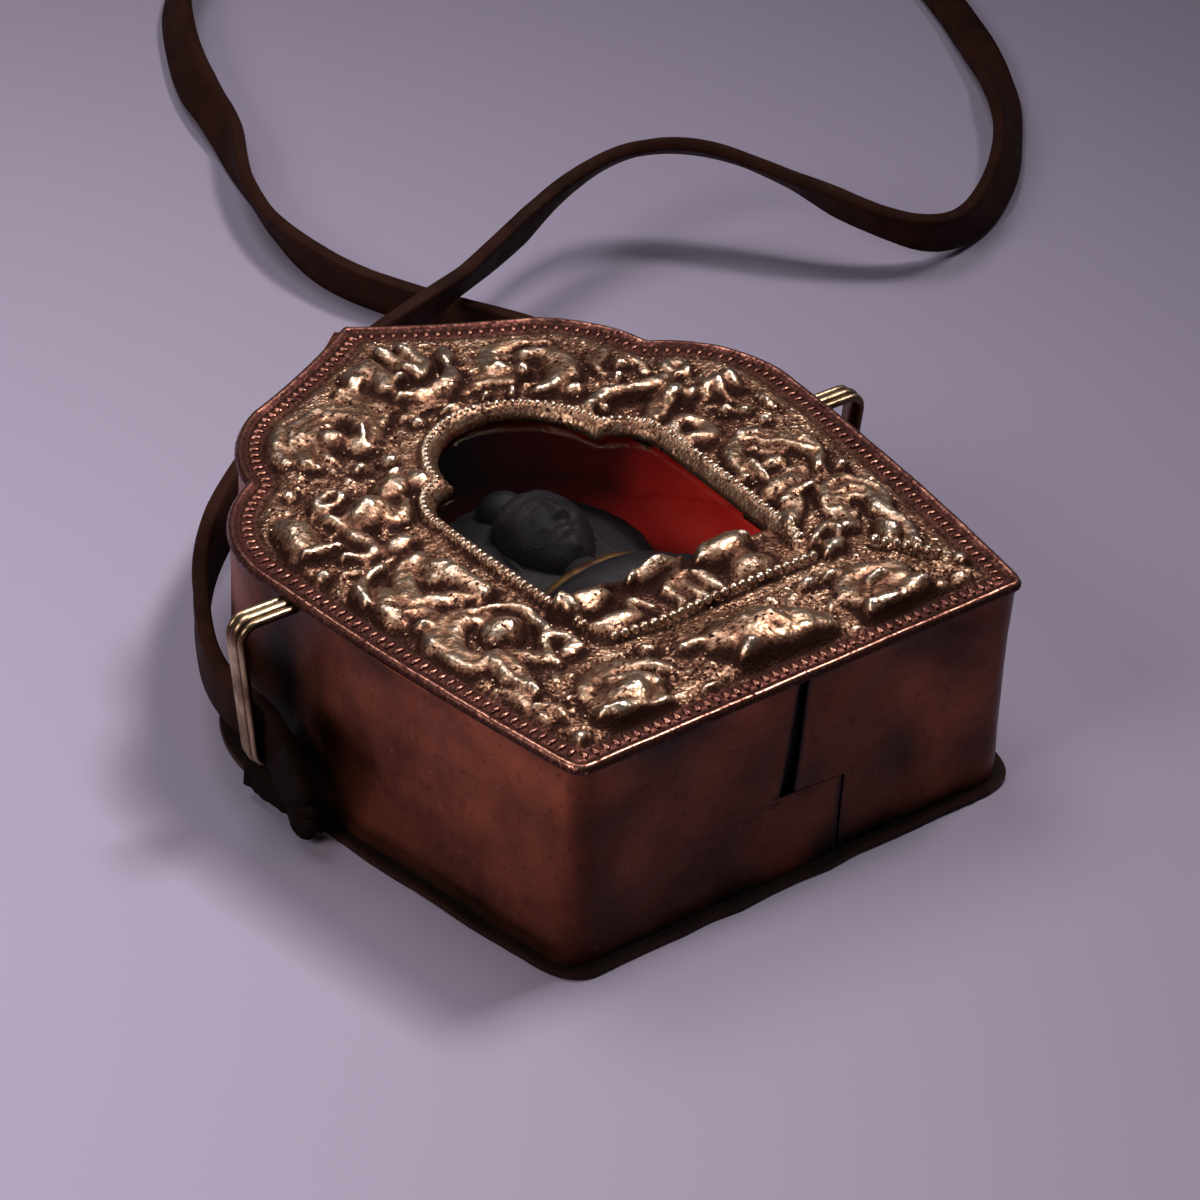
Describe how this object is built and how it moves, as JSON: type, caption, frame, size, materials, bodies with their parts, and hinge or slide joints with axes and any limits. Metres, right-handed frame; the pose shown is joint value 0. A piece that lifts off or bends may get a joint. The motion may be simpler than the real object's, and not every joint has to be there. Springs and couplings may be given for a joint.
{
  "type": "amulet box",
  "caption": "Arched copper amulet box with a chased gilt front, a lobed glazed window over a seated votive figure, a plug-in back and a leather neck strap through side bails.",
  "frame": {"origin": "on the resting surface under the middle of the box, strap left out", "axes": "+X to the right across the front, +Y from the straight base to the pointed top, +Z from the back plate to the chased front"},
  "size_m": [0.2121, 0.2441, 0.0299],
  "materials": {
    "gilt_copper": "worn gilding over chased copper, dark in the hollows",
    "copper": "brown patina, hand planished",
    "bail_brass": "polished by wear",
    "window_glass": "clear flat pane",
    "red_cloth": "plain red silk",
    "figure_stone": "dark slate grey, polished",
    "strap_leather": "dark brown, dry, creased"
  },
  "bodies": {
    "back_cover": {"back_plate": "copper", "back_collar": "copper", "back_lining": "red_cloth", "votive_figure": "figure_stone"},
    "case": {"front_plate": "gilt_copper", "wall_band": "copper", "wall_lining": "red_cloth", "glass_pane": "window_glass", "glass_tabs": "copper", "right_bail": "bail_brass", "left_bail": "bail_brass", "strap": "strap_leather", "left_strap_knot": "strap_leather", "right_strap_knot": "strap_leather"}
  },
  "joints": [
    {"name": "case_lift_off", "type": "slide", "parent": "back_cover", "child": "case", "axis": [0, 0, 1], "range_m": [0, 0.03]}
  ]
}
